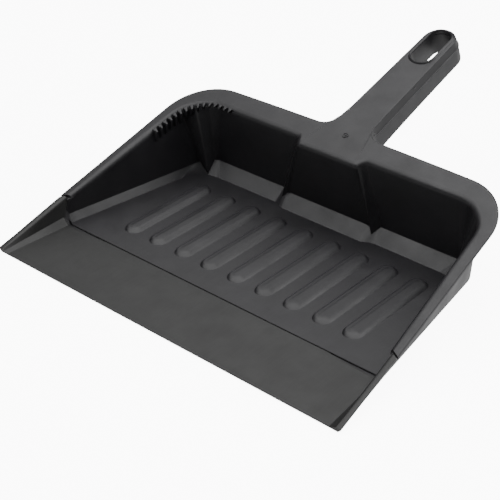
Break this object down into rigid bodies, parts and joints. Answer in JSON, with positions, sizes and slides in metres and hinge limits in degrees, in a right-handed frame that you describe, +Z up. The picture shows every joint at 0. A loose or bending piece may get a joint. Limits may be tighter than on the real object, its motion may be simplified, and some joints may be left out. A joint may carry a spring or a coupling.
{
  "type": "dust pan",
  "caption": "Wide plastic dust pan with a sloping rim, ribbed floor, ramped front lip, corner comb and a long hollow handle with a hang slot.",
  "frame": {"origin": "on the floor under the middle of the bounding box", "axes": "+Y from the lip towards the handle, +Z up, +X to the right when looking along +Y"},
  "size_m": [0.3164, 0.34, 0.1075],
  "materials": {
    "tray_plastic": "satin",
    "lip_plastic": "satin"
  },
  "bodies": {
    "root": {"pan_tray": "tray_plastic", "front_lip": "lip_plastic", "handle": "tray_plastic", "corner_comb": "tray_plastic"}
  },
  "joints": []
}
